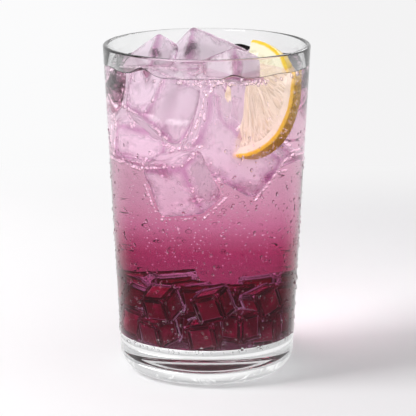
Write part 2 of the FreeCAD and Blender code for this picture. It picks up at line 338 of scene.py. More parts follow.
@dataclass(frozen=True)
class GrapeDrink(Finish):
    """Clear drink, coloured by height: what light keeps each time that it crosses the surface."""

    layers: tuple[tuple[float, Colour], ...] = (
        (14.0, (0.46, 0.10, 0.24)),
        (30.0, (0.42, 0.08, 0.20)),
        (39.0, (0.31, 0.016, 0.080)),
        (44.0, (0.30, 0.010, 0.059)),
        (50.0, (0.43, 0.042, 0.135)),
        (56.0, (0.62, 0.123, 0.282)),
        (66.0, (0.75, 0.300, 0.468)),
        (88.0, (0.81, 0.450, 0.600)),
        (112.0, (0.85, 0.610, 0.720)),
        (127.0, (0.88, 0.680, 0.780)),
    )

    def surface(self, graph: Graph) -> Wire:
        """A clear liquid."""
        low, high = self.layers[0][0], self.layers[-1][0]
        height = graph.axis(graph.place(), "Z") / MM
        stops = [((level - low) / (high - low), colour) for level, colour in self.layers]
        share = {"Fac": (height - low) / (high - low)}
        tint = graph.add("ShaderNodeValToRGB", {"stops": stops}, share)["Color"]
        return graph.see_through(tint, Bending.DRINK)


@dataclass(frozen=True)
class ClearBody(Finish):
    """Anything small and clear: a bubble, or a drop of water."""

    bending: Bending
    # strength of a painted glow that lightens the piece; the dew has none
    glow: float = 0.0
    white: Colour = (1.0, 1.0, 1.0)
    glow_colour: Colour = (1.0, 0.85, 0.93)

    def surface(self, graph: Graph) -> Wire:
        """A smooth clear surface, with a painted glow: light of its own."""
        glow = {"Emission Color": (*self.glow_colour, 1.0), "Emission Strength": self.glow}
        return graph.see_through((*self.white, 1.0), self.bending, glow)


@dataclass(frozen=True)
class CloudyIce(Finish):
    """Clear ice, white with fine bubbles in its middle and purple along its edges, with a painted glow in
    its thickest clouds.
    """

    bending: Bending
    clear: Colour = (0.985, 0.955, 0.975)
    purple: Colour = (0.56, 0.27, 0.48)
    cloud: Colour = (0.86, 0.78, 0.85)
    # painted glow: the colour of the light of its own that the thickest clouds give off
    painted_cloud_glow: Colour = (0.80, 1.0, 0.92)
    cloudiness: float = 0.6
    least_cloud: float = 0.15
    # strength of the clouds' painted glow
    inner_light: float = 0.12
    let_through: float = 0.45
    soft_scale: float = 75.0
    fine_scale: float = 380.0
    relief: float = 0.0004
    tint_span: Span = (0.30, 0.62)
    cloud_span: Span = (0.06, 0.58)
    painted_glow_span: Span = (0.45, 1.0)
    seed: float = 0.0

    def surface(self, graph: Graph) -> Wire:
        """Clear where the clouds are thin, and matt white in them, with a painted glow where they are
        thickest.
        """
        moved = {"Vector": graph.place(), "Location": (self.seed, 0, 0)}
        place = graph.add("ShaderNodeMapping", sockets=moved)["Vector"]
        soft = graph.noise(place, self.soft_scale, 3.0, 0.8)
        fine = graph.noise(place, self.fine_scale, 4.0, 0.3)
        core = graph.attribute("core")
        tint = graph.blend((soft * 0.7 + core * 0.45).step(*self.tint_span), self.purple, self.clear)
        skin = {"Roughness": 0.03, "Normal": graph.bump(soft * 0.6 + fine * 0.4, self.relief)}
        clear = graph.see_through(tint, self.bending, skin)
        thick = (core * 0.5 + soft * 1.2 + fine * 0.6 - 0.85).step(*self.cloud_span)
        front = {
            "Base Color": (*self.cloud, 1.0),
            "Roughness": 0.8,
            "Specular IOR Level": 0.0,
            # painted glow in the thickest clouds
            "Emission Color": graph.blend(thick.step(*self.painted_glow_span), BLACK, self.painted_cloud_glow),
            "Emission Strength": self.inner_light,
        }
        behind = graph.add("ShaderNodeBsdfTranslucent", sockets={"Color": (*self.cloud, 1.0)})["BSDF"]
        white = graph.mix(self.let_through, graph.principled(front), behind)
        share = (thick * (1.0 - self.least_cloud) + self.least_cloud) * self.cloudiness
        return graph.mix(share, clear, white)


@dataclass(frozen=True)
class WetJelly(Finish):
    """Dark jelly with painted light on its edges, lilac in colour and in glow, most on the sides that face
    the wall.
    """

    deep: Colour = (0.12, 0.003, 0.02)
    glow: Colour = (0.36, 0.015, 0.09)
    # painted light: the lilac of edges turned to the wall
    rim: Colour = (0.80, 0.55, 0.80)
    # painted glow: light of its own, faint over the faces and lilac on the edges
    deep_light: Colour = (0.05, 0.0, 0.008)
    rim_light: Colour = (0.36, 0.40, 0.42)
    cloud_scale: float = 150.0
    glow_span: Span = (0.45, 0.75)
    rim_span: Span = (0.1, 0.95)

    def surface(self, graph: Graph) -> Wire:
        """Glossy, nearly black red, with a faint painted glow, and painted lilac light along its edges."""
        cloudy = graph.noise(graph.place(), self.cloud_scale, 3.0)
        # painted light: on the edges that face the wall
        painted_rim = graph.attribute("edge") * graph.attribute("outward") * (cloudy * 1.1 + 0.35)
        painted_rim = painted_rim.step(*self.rim_span)
        tint = graph.blend(cloudy.step(*self.glow_span), self.deep, self.glow)
        sockets = {
            "Base Color": graph.blend(painted_rim, tint, self.rim),
            "Emission Color": graph.blend(painted_rim, self.deep_light, self.rim_light),
            "Emission Strength": 1.0,
            "Roughness": 0.15,
            "Specular IOR Level": 0.2,
            "Coat Weight": 0.5,
            "Coat IOR": 1.5,
            "Coat Roughness": 0.05,
        }
        return graph.principled(sockets)


@dataclass(frozen=True)
class CutLemon(Finish):
    """Peel, pith, membranes and juicy pulp, laid out by distance and direction from the middle."""

    radius: float
    rind: float
    core: float
    membrane: float
    segments: int
    first_membrane: float
    zest_width: float = 1.5
    relief: float = 0.0006
    pulp: Colour = (0.82, 0.76, 0.52)
    deep_pulp: Colour = (0.74, 0.62, 0.33)
    pith: Colour = (0.90, 0.88, 0.66)
    zest: Colour = (0.97, 0.68, 0.03)
    deep_zest: Colour = (0.93, 0.58, 0.03)

    def surface(self, graph: Graph) -> Wire:
        """Moist flesh inside, dimpled waxy peel outside."""
        local = graph.attribute("slice", "Vector")
        x, y, z = (graph.axis(local, name) for name in "XYZ")
        distance = (x * x + y * y) ** 0.5
        angle = y.maths("ARCTAN2", x)
        pitch = 360.0 / self.segments
        turn = angle / math.radians(pitch) - self.first_membrane / pitch
        across = (turn.maths("FRACT") - 0.5).maths("ABSOLUTE")
        off_membrane = (0.5 - across) * math.radians(pitch) * distance

        ray = {"X": distance * 0.22, "Y": angle * 9.0, "Z": z * 0.2}
        ray = graph.add("ShaderNodeCombineXYZ", sockets=ray)["Vector"]
        vesicles = graph.cells(ray, 1.3, "DISTANCE_TO_EDGE")
        patches = graph.noise(local, 0.35, 2.0)
        pulp = graph.blend(vesicles.step(0.02, 0.22) * 0.6 + patches * 0.4, self.pith, self.pulp)
        pulp = graph.blend((patches * vesicles * 2.2).step(0.2, 0.8), pulp, self.deep_pulp)

        pulp_edge = self.radius - self.rind
        wavy = distance + patches * 0.9 - 0.45
        in_rind = wavy.step(pulp_edge - 0.35, pulp_edge + 0.35)
        on_membrane = 1.0 - off_membrane.step(self.membrane * 0.2, self.membrane * 0.75)
        in_core = 1.0 - distance.step(self.core * 0.7, self.core * 1.2)
        white = in_rind.maths("MAXIMUM", on_membrane).maths("MAXIMUM", in_core)
        colour = graph.blend(white, pulp, self.pith)
        zest_edge = self.radius - self.zest_width
        pores = graph.noise(local, 1.6, 3.0)
        zest = graph.blend(pores.step(0.35, 0.7), self.zest, self.deep_zest)
        colour = graph.blend(wavy.step(zest_edge - 0.4, zest_edge + 0.5), colour, zest)

        dimples = graph.cells(local, 0.9)
        relief = distance.step(self.radius - 0.4, self.radius - 0.1) * dimples.step(0.0, 0.6) * 0.5
        relief = relief + (1.0 - white) * vesicles.step(0.0, 0.3) * 0.5
        sockets = {
            "Base Color": colour,
            "Roughness": 0.32,
            "Coat Weight": 0.4,
            "Coat Roughness": 0.12,
            "Normal": graph.bump(relief, self.relief),
        }
        return graph.principled(sockets)


@dataclass(frozen=True)
class PaintedSheen(Finish):
    """A painted sheen: a pale skin with light of its own, standing for the bright underside of the drink
    seen through the clear foot.
    """

    colour: Colour = (0.84, 0.84, 0.845)
    dimmest: float = 0.9
    # painted light: the skin's own glow
    own_light: float = 0.16
    wave_scale: float = 70.0

    def surface(self, graph: Graph) -> Wire:
        """White, with the faintest waves, and a light of its own."""
        waves = graph.noise(graph.place(), self.wave_scale, 2.0, 1.5)
        dim = tuple(channel * self.dimmest for channel in self.colour)
        colour = graph.blend(waves, self.colour, dim)
        light = {"Emission Color": colour, "Emission Strength": self.own_light}
        return graph.principled({"Base Color": colour, "Roughness": 0.6, **light})


@dataclass(frozen=True)
class PaleTable(Finish):
    """A white table with faint clouds that runs into a white backdrop, both a little darker to the right by
    painted shade.
    """

    light: Colour = (0.985, 0.98, 0.985)
    # painted shade: the table's colour towards the right
    dim: Colour = (0.87, 0.865, 0.875)
    backdrop: Colour = (0.965, 0.965, 0.97)
    # painted shade: the backdrop's colour towards the right
    backdrop_dim: Colour = (0.90, 0.895, 0.90)
    shaded: Colour = (0.17, 0.165, 0.17)
    # metres: across the table where the painted shade darkens it to the right, and away from the glass
    # where the rest begins
    painted_falloff: Span = (-0.12, 0.16)
    mirrored_from: Span = (0.05, 0.09)
    backdrop_from: Span = (0.26, 0.42)
    cloud_scale: float = 9.0

    def surface(self, graph: Graph) -> Wire:
        """Matt stone that takes shadows near by, and plain white far off and through glass."""
        place = graph.place()
        x, y = graph.axis(place, "X"), graph.axis(place, "Y")
        cloud = graph.noise(place, self.cloud_scale, 3.0, 0.8)
        # painted shade: darker towards the right
        across = (x + cloud * 0.05).step(*self.painted_falloff)
        near = graph.blend(across, self.light, self.dim)
        stone = graph.add("ShaderNodeBsdfDiffuse", sockets={"Color": near, "Roughness": 0.5})["BSDF"]
        away = (x * x + y * y) ** 0.5
        in_front = (1.0 - (y / away).step(*BRIGHT_BEHIND)) * away.step(*self.mirrored_from)
        reflected = graph.reflected()
        plain = graph.blend(across, self.backdrop, self.backdrop_dim)
        plain = graph.blend(reflected * in_front, plain, self.shaded)
        white = graph.add("ShaderNodeEmission", sockets={"Color": plain, "Strength": 1.0})["Emission"]
        behind = (y + cloud * 0.02).step(*self.backdrop_from)
        through = graph.add("ShaderNodeLightPath")["Is Transmission Ray"]
        through = behind.maths("MAXIMUM", through).maths("MAXIMUM", reflected)
        return graph.mix(through, stone, white)


# ---------------------------------------------------------------- bench tools


def clear_selection() -> None:
    """Leaves edit mode and selects nothing."""
    if bpy.context.object and bpy.context.object.mode == "EDIT":
        bpy.ops.object.mode_set(mode="OBJECT")
    bpy.ops.object.select_all(action="DESELECT")


def named_active(name: str) -> bpy.types.Object:
    """Names the active object and its mesh.

    Args:
        name: the piece's name.

    Returns:
        The object.
    """
    piece = bpy.context.active_object
    piece.name = name
    piece.data.name = name
    return piece


def make_active(piece: bpy.types.Object) -> None:
    """Selects one piece alone."""
    clear_selection()
    piece.select_set(True)
    bpy.context.view_layer.objects.active = piece


def apply_modifier(piece: bpy.types.Object, kind: str, **settings: object) -> None:
    """Adds a modifier and applies it.

    Args:
        piece: the object that it acts on.
        kind: the modifier's type.
        settings: its settings.
    """
    modifier = piece.modifiers.new(kind.title(), kind)
    for name, value in settings.items():
        setattr(modifier, name, value)
    make_active(piece)
    bpy.ops.object.modifier_apply(modifier=modifier.name)


def arc(centre: Point, radius: float, start: float, end: float, steps: int) -> list[Point]:
    """Points along an arc of an outline.

    Args:
        centre: its middle.
        radius: its radius.
        start: the direction of its first point, in degrees.
        end: the direction of its last point.
        steps: how many spans it is divided into.

    Returns:
        Its points, both ends among them.
    """
    turns = [math.radians(start + (end - start) * i / steps) for i in range(steps + 1)]
    return [(centre[0] + radius * math.cos(t), centre[1] + radius * math.sin(t)) for t in turns]


def around(turn: float, out: float, height: float) -> Vector:
    """The point at a distance from the axis, in a direction given in radians."""
    return Vector((out * math.cos(turn), out * math.sin(turn), height))


def turned_by(*turns: tuple[str, float]) -> Matrix:
    """One rotation after another, each given by its axis and its angle in degrees."""
    matrix = Matrix.Identity(4)
    for axis, degrees in turns:
        matrix = matrix @ Matrix.Rotation(math.radians(degrees), 4, axis)
    return matrix


def clamped(value: float) -> float:
    """The value, held between 0 and 1."""
    return min(1.0, max(0.0, value))


def mostly_small(chance: random.Random, least: float, spread: float, power: float) -> float:
    """A size by chance, from least to least plus spread, and the rarer the larger, by the power."""
    return least + spread * chance.random() ** power


def turned(name: str, outline: list[Point], steps: int) -> bpy.types.Object:
    """A solid turned about the vertical axis.

    Args:
        name: the piece's name.
        outline: radius and height of its points in millimetres, from the axis round to the axis again.
        steps: how many spans go round.

    Returns:
        The piece, its normals outwards.
    """
    clear_selection()
    bpy.ops.mesh.primitive_circle_add(vertices=len(outline))
    piece = named_active(name)
    for vertex, (radius, height) in zip(piece.data.vertices, outline):
        vertex.co = (radius * MM, 0.0, height * MM)
    on_axis = {0, len(outline) - 1}
    for vertex in piece.data.vertices:
        vertex.select = vertex.index in on_axis
    for edge in piece.data.edges:
        edge.select = set(edge.vertices) == on_axis
    bpy.ops.object.mode_set(mode="EDIT")
    bpy.ops.mesh.delete(type="EDGE")
    bpy.ops.mesh.select_all(action="SELECT")
    bpy.ops.mesh.spin(steps=steps, angle=math.tau, center=(0, 0, 0), axis=(0, 0, 1))
    bpy.ops.mesh.select_all(action="SELECT")
    bpy.ops.mesh.remove_doubles(threshold=1e-6)
    bpy.ops.mesh.normals_make_consistent(inside=False)
    bpy.ops.object.mode_set(mode="OBJECT")
    bpy.ops.object.shade_smooth()
    return piece


def settle(piece: bpy.types.Object, place: Matrix) -> None:
    """Moves a mesh to its place and leaves its object at the origin."""
    piece.data.transform(place)
    piece.matrix_world = Matrix.Identity(4)


def scattered(name: str, pattern: bpy.types.Object, places: Iterable[Matrix]) -> bpy.types.Object:
    """One piece made of many copies of a small pattern, which is used up.

    Args:
        name: the new piece's name.
        pattern: the small object that is copied.
        places: where each copy goes, and its size.

    Returns:
        The piece.
    """
    mesh = bmesh.new()
    for place in places:
        copy = pattern.data.copy()
        copy.transform(place)
        mesh.from_mesh(copy)
        bpy.data.meshes.remove(copy)
    piece = bpy.data.objects.new(name, bpy.data.meshes.new(name))
    mesh.to_mesh(piece.data)
    mesh.free()
    bpy.context.scene.collection.objects.link(piece)
    bpy.data.objects.remove(pattern)
    make_active(piece)
    bpy.ops.object.shade_smooth()
    return piece


def small_ball(radius: float, rounds: int) -> bpy.types.Object:
    """A ball to copy, of few faces.

    Args:
        radius: its radius in metres.
        rounds: how finely it is divided.

    Returns:
        The ball.
    """
    clear_selection()
    bpy.ops.mesh.primitive_ico_sphere_add(subdivisions=rounds, radius=radius)
    return bpy.context.active_object


def dress(piece: bpy.types.Object, finish: Finish, stands_for: tuple[str, ...] = ()) -> None:
    """Gives a piece its finish and its body, hides the frame's nodes that it replaces, and lists it among
    the dressed pieces.

    Args:
        piece: the finished object.
        finish: what it is dressed in.
        stands_for: the frame's nodes that it replaces.
    """
    piece.data.materials.clear()
    piece.data.materials.append(finish.material())
    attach(piece, BODY)
    if stands_for:
        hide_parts(*stands_for)
    DRESSED.append(piece.name)
    log.info("%s: %d faces", piece.name, len(piece.data.polygons))


# ---------------------------------------------------------------- the glass


@dataclass
class Tumbler:
    """The glass: a straight tapered wall on a thick clear foot."""

    height: float = GLASS_HEIGHT
    rim_radius: float = RIM_RADIUS
    foot_radius: float = 35.0
    rim_wall: float = 2.0
    foot_wall: float = 2.8
    floor: float = 14.0
    heel_round: float = 10.0
    floor_corner: float = 3.0
    lip_round: float = 0.9
    punt_radius: float = 23.0
    punt_depth: float = 0.8
    headroom: float = 9.0
    steps: int = 240
    finish: Finish = field(default_factory=lambda: ClearGlass("clear_glass"))

    def outside(self, height: float) -> float:
        """Outside radius of the wall at a height."""
        return self.foot_radius + (self.rim_radius - self.foot_radius) * height / self.height

    def bore(self, height: float) -> float:
        """Inside radius of the wall at a height."""
        low = self.outside(self.floor) - self.foot_wall
        high = self.rim_radius - self.rim_wall
        return low + (high - low) * (height - self.floor) / (self.height - self.floor)

    def inside_corner(self, spread: float = 0.0) -> list[Point]:
        """The rounding between wall and floor, from the wall down.

        Args:
            spread: how far outside the bore it lies.

        Returns:
            Its points.
        """
        lean = math.degrees(math.atan(self.bore(1.0) - self.bore(0.0)))
        middle = self.floor + self.floor_corner
        centre = (self.bore(middle) - self.floor_corner / math.cos(math.radians(lean)), middle)
        return arc(centre, self.floor_corner + spread, -lean, -90.0, 8)

    def outline(self) -> list[Point]:
        """The wall's outline, from the axis under the foot to the axis over the floor."""
        lean = math.degrees(math.atan(self.outside(1.0) - self.outside(0.0)))
        bore_lean = math.degrees(math.atan(self.bore(1.0) - self.bore(0.0)))
        slant = math.cos(math.radians(lean))
        heel = (self.outside(self.heel_round) - self.heel_round / slant, self.heel_round)
        lip = self.height - self.lip_round
        level = self.height - self.headroom
        outer_lip = (self.outside(lip) - self.lip_round / slant, lip)
        inner_lip = (self.bore(lip) + self.lip_round / slant, lip)
        return [
            (0.0, self.punt_depth),
            (self.punt_radius - self.punt_depth, self.punt_depth),
            (self.punt_radius, 0.0),
            *arc(heel, self.heel_round, -90.0, -lean, 16),
            *arc(outer_lip, self.lip_round, -lean, 90.0, 8),
            *arc(inner_lip, self.lip_round, 90.0, 180.0 - bore_lean, 8),
            (self.bore(level), level),
            *self.inside_corner(),
            (0.0, self.floor),
        ]

    def build(self) -> bpy.types.Object:
        """Models and dresses the glass."""
        piece = turned("tumbler", self.outline(), self.steps)
        dress(piece, self.finish, ("glass",))
        return piece


@dataclass
class FloorSheen:
    """A painted sheen: a thin glowing skin inside the glass, just under the drink's floor and its rounded
    edge.
    """

    glass: Tumbler
    depth: float = 0.6
    thickness: float = 0.15
    rise: float = 2.4
    steps: int = 120
    finish: Finish = field(default_factory=lambda: PaintedSheen("painted_sheen"))

    def upturned(self, spread: float) -> list[Point]:
        """The part of the floor's rounded edge, spread outwards, that the skin follows."""
        top = self.glass.floor + self.rise
        return [point for point in self.glass.inside_corner(spread) if point[1] < top]

    def build(self) -> bpy.types.Object:
        """Models and dresses the skin, turned up at its rim as the floor is."""
        middle = self.glass.floor - self.depth
        upper = [(0.0, middle), *reversed(self.upturned(self.depth))]
        under = [*self.upturned(self.depth + self.thickness), (0.0, middle - self.thickness)]
        piece = turned("painted_floor_sheen", upper + under, self.steps)
        dress(piece, self.finish)
        return piece


# ---------------------------------------------------------------- the ice


@dataclass
class IceBlock:
    """A piece of ice: a box with melted edges, tilted in the drink."""

    name: str
    size: Triple
    middle: Triple
    turns: Triple
    finish: Finish
    stands_for: tuple[str, ...] = ()
    melt: float = 2.2
    wobble: float = 0.35
    wobble_scale: float = 0.16
    core_share: float = 0.45
    cuts: int = 26

    def __post_init__(self) -> None:
        """Works out once how a point is brought into the block's own frame."""
        self.unlaid = self.place().inverted()

    def place(self) -> Matrix:
        """Where the block lies, in metres."""
        return Matrix.Translation(Vector(self.middle) * MM) @ turned_by(*zip("ZYX", self.turns))

    def melted(self, point: Vector) -> Vector:
        """A point of the sharp box moved onto the melted one, both in millimetres."""
        limits = [s / 2 - self.melt for s in self.size]
        inner = Vector([max(-limit, min(limit, c)) for limit, c in zip(limits, point)])
        out = point - inner
        if out.length > 0:
            point = inner + out.normalized() * self.melt
            shift = Vector(self.middle)
            point += out.normalized() * self.wobble * noise.noise((point + shift) * self.wobble_scale)
        return point

    def shape(self, name: str, shrink: float = 0.0) -> bpy.types.Object:
        """The block's mesh.

        Args:
            name: the object's name.
            shrink: how far inside its own surface it is made, in millimetres.

        Returns:
            The object, in its place.
        """
        clear_selection()
        bpy.ops.mesh.primitive_cube_add(size=1.0)
        piece = named_active(name)
        bpy.ops.object.mode_set(mode="EDIT")
        bpy.ops.mesh.subdivide(number_cuts=self.cuts)
        bpy.ops.object.mode_set(mode="OBJECT")
        half = max(self.size) / 2
        core = piece.data.attributes.new("core", "FLOAT", "POINT")
        for vertex in piece.data.vertices:
            sharp = Vector([c * s for c, s in zip(vertex.co, self.size)])
            gap = sorted(s / 2 - abs(c) for c, s in zip(sharp, self.size))[1]
            core.data[vertex.index].value = min(1.0, gap / (self.core_share * half))
            point = self.melted(sharp)
            vertex.co = point * (1.0 - shrink / half) * MM
        bpy.ops.object.shade_smooth()
        settle(piece, self.place())
        return piece

    def build(self) -> bpy.types.Object:
        """Models and dresses the block."""
        piece = self.shape(self.name)
        dress(piece, self.finish, self.stands_for)
        return piece

    def holds(self, point: Vector, margin: float) -> bool:
        """True if a point, in millimetres, is inside the block grown by a margin."""
        local = self.unlaid @ (point * MM) / MM
        return all(abs(c) < s / 2 + margin for c, s in zip(local, self.size))


def standing_ice(glass: Tumbler, level: float) -> list[IceBlock]:
    """The pieces that stand out of the drink, placed from its level and from the wall inwards.

    Args:
        glass: the glass that they stand in.
        level: height of the drink's surface.

    Returns:
        The blocks.
    """
    # size, then direction from the axis, distance in from the wall and height over the level, then turns
    laid = {
        "left": ((22.0, 11.6, 21.0), (163.21, 15.241, -2.5), (134.9, 31.7, -140.0)),
        "peak": ((18.1, 27.0, 22.6), (88.678, 26.47, -3.6), (127.3, 36.0, -148.8)),
        "front": ((19.5, 15.3, 18.3), (-54.224, 22.711, -2.9), (139.6, 22.1, -157.1)),
        "back": ((11.0, 11.0, 10.0), (45.0, 9.068, -2.6), (30.0, 35.0, 40.0)),
    }
    blocks = []
    for number, (side, (size, (towards, inset, rise), turns)) in enumerate(laid.items()):
        middle = around(math.radians(towards), glass.bore(level) - inset, level + rise)
        name = f"standing_ice_{side}"
        block = IceBlock(
            name=name,
            size=size,
            middle=tuple(middle),
            turns=turns,
            finish=CloudyIce(name, Bending.ICE, cloudiness=0.8, seed=0.1 * number),
            stands_for=(f"ice_{side}",),
        )
        blocks.append(block)
    return blocks


def sunk_ice() -> list[IceBlock]:
    """The pieces that lie wholly under the drink's surface."""
    # size, middle, then turns
    laid = [
        ((17.0, 17.0, 21.0), (-15.6, -16.6, 110.4), (21.4, -50.1, 2.9)),
        ((20.0, 12.0, 13.4), (-22.0, -5.0, 96.0), (-13.0, 8.6, 0.0)),
        ((19.5, 16.0, 23.5), (-9.0, -18.6, 82.2), (-34.6, -9.1, 24.0)),
        ((30.0, 18.0, 19.6), (8.2, -2.6, 90.4), (3.9, 35.0, -1.0)),
        ((17.0, 16.0, 19.0), (-15.0, 20.0, 92.0), (40.0, 20.0, 15.0)),
        ((17.0, 15.0, 16.0), (10.0, 23.0, 88.0), (20.0, -25.0, 20.0)),
    ]
    return [
        IceBlock(
            name=f"sunk_ice_{number}",
            size=size,
            middle=middle,
            turns=turns,
            finish=CloudyIce(
                f"sunk_ice_{number}",
                Bending.SUNK_ICE,
                cloudiness=0.75,
                least_cloud=0.08,
                # a stronger painted glow in the sunk ice's clouds
                inner_light=0.32,
                seed=1.0 + 0.1 * number,
            ),
            melt=3.4,
            wobble=0.6,
        )
        for number, (size, middle, turns) in enumerate(laid, start=1)
    ]


# ---------------------------------------------------------------- the drink


@dataclass
class Drink:
    """What fills the glass up to its level, with the line where it climbs the wall."""

    glass: Tumbler
    into_wall: float = 0.3
    meniscus_rise: float = 1.1
    meniscus_run: float = 0.9
    climb_run: float = 2.6
    calm_run: float = 4.0
    ripple: float = 0.25
    ripple_scale: float = 90.0
    ice_gap: float = 0.15
    steps: int = 240
    # how far back from the wall the surface's rings of points lie
    rings: tuple[float, ...] = (0.0, 0.15, 0.35, 0.6, 1.0, 1.5, 2.2, 3.2, 4.6, 7.0, 11.0, 17.0, 25.0)
    # where ice near the wall draws the drink up: direction in degrees, height, and half width in degrees
    climbs: tuple[Triple, ...] = (
        (-129.0, 3.4, 7.0),
        (-75.0, 1.7, 5.0),
        (-160.0, 0.8, 9.0),
        (-45.0, 0.6, 8.0),
        (25.0, 1.2, 8.0),
        (70.0, 1.8, 9.0),
        (128.0, 2.2, 8.0),
    )
    finish: Finish = field(default_factory=lambda: GrapeDrink("grape_drink"))

    @property
    def level(self) -> float:
        """Height of the drink's surface."""
        return self.glass.height - self.glass.headroom

    def outline(self) -> list[Point]:
        """From the axis under the drink, round the wall, to the axis on its surface."""
        floor, level = self.glass.floor, self.level
        heights = [level * share + floor * (1 - share) for share in (0.2, 0.4, 0.6, 0.8)]
        wall = [(self.glass.bore(height) + self.into_wall, height) for height in heights]
        edge = self.glass.bore(level) + self.into_wall
        rises = [self.climb(back, self.meniscus_run) * self.meniscus_rise for back in self.rings]
        return [
            (0.0, floor - self.into_wall),
            *reversed(self.glass.inside_corner(self.into_wall)),
            *wall,
            *((edge - back, level + rise) for back, rise in zip(self.rings, rises)),
            (0.0, self.level),
        ]

    @staticmethod
    def climb(back: float, run: float) -> float:
        """Share of a climb that is left at a distance back from the wall."""
        return math.exp(-back / run)

    def build(self, blocks: list[IceBlock]) -> bpy.types.Object:
        """Models and dresses the drink.

        Args:
            blocks: the standing ice, which the drink is cut round.

        Returns:
            The piece.
        """
        piece = turned("grape_drink", self.outline(), self.steps)
        edge = self.glass.bore(self.level) + self.into_wall
        for vertex in piece.data.vertices:
            if vertex.co.z < self.level * MM - 1e-6:
                continue
            back = edge - math.hypot(vertex.co.x, vertex.co.y) / MM
            direction = math.degrees(math.atan2(vertex.co.y, vertex.co.x))
            for middle, height, spread in self.climbs:
                off = (direction - middle + 180.0) % 360.0 - 180.0
                lift = height * math.exp(-((off / spread) ** 2)) * self.climb(back, self.climb_run)
                vertex.co.z += lift * MM
            ripple = noise.noise(vertex.co * self.ripple_scale) * self.ripple
            ripple *= 1.0 - self.climb(back, self.calm_run)
            vertex.co.z += ripple * MM
        for block in blocks:
            cutter = block.shape(f"cutter_{block.name}", shrink=self.ice_gap)
            apply_modifier(piece, "BOOLEAN", operation="DIFFERENCE", object=cutter, solver="EXACT")
            bpy.data.objects.remove(cutter)
        dress(piece, self.finish, ("drink",))
        return piece


# ---------------------------------------------------------------- the jelly


@dataclass
class JellyCube:
    """One tumbled cube: its middle, how it is turned, and half its edge."""

    middle: Vector
    turn: Matrix
    half: float

    def axes(self) -> list[Vector]:
        """Its three face directions."""
        return [self.turn.col[i].copy() for i in range(3)]

    def corners(self) -> list[Vector]:
        """Its eight corners."""
        x, y, z = (axis * self.half for axis in self.axes())
        signs = [(a, b, c) for a in (-1, 1) for b in (-1, 1) for c in (-1, 1)]
        return [self.middle + x * a + y * b + z * c for a, b, c in signs]

    def reach(self, direction: Vector) -> float:
        """How far it extends from its middle along a direction."""
        return self.half * sum(abs(axis.dot(direction)) for axis in self.axes())

    def meets(self, other: "JellyCube", bite: float) -> bool:
        """True if two cubes press into each other by more than a bite: no direction parts them."""
        between = other.middle - self.middle
        if between.length > math.sqrt(3) * (self.half + other.half):
            return False
        mine, theirs = self.axes(), other.axes()
        for direction in (*mine, *theirs, *(a.cross(b) for a in mine for b in theirs)):
            if direction.length < 1e-4:
                continue
            unit = direction.normalized()
            if abs(between.dot(unit)) > self.reach(unit) + other.reach(unit) - bite:
                return False
        return True


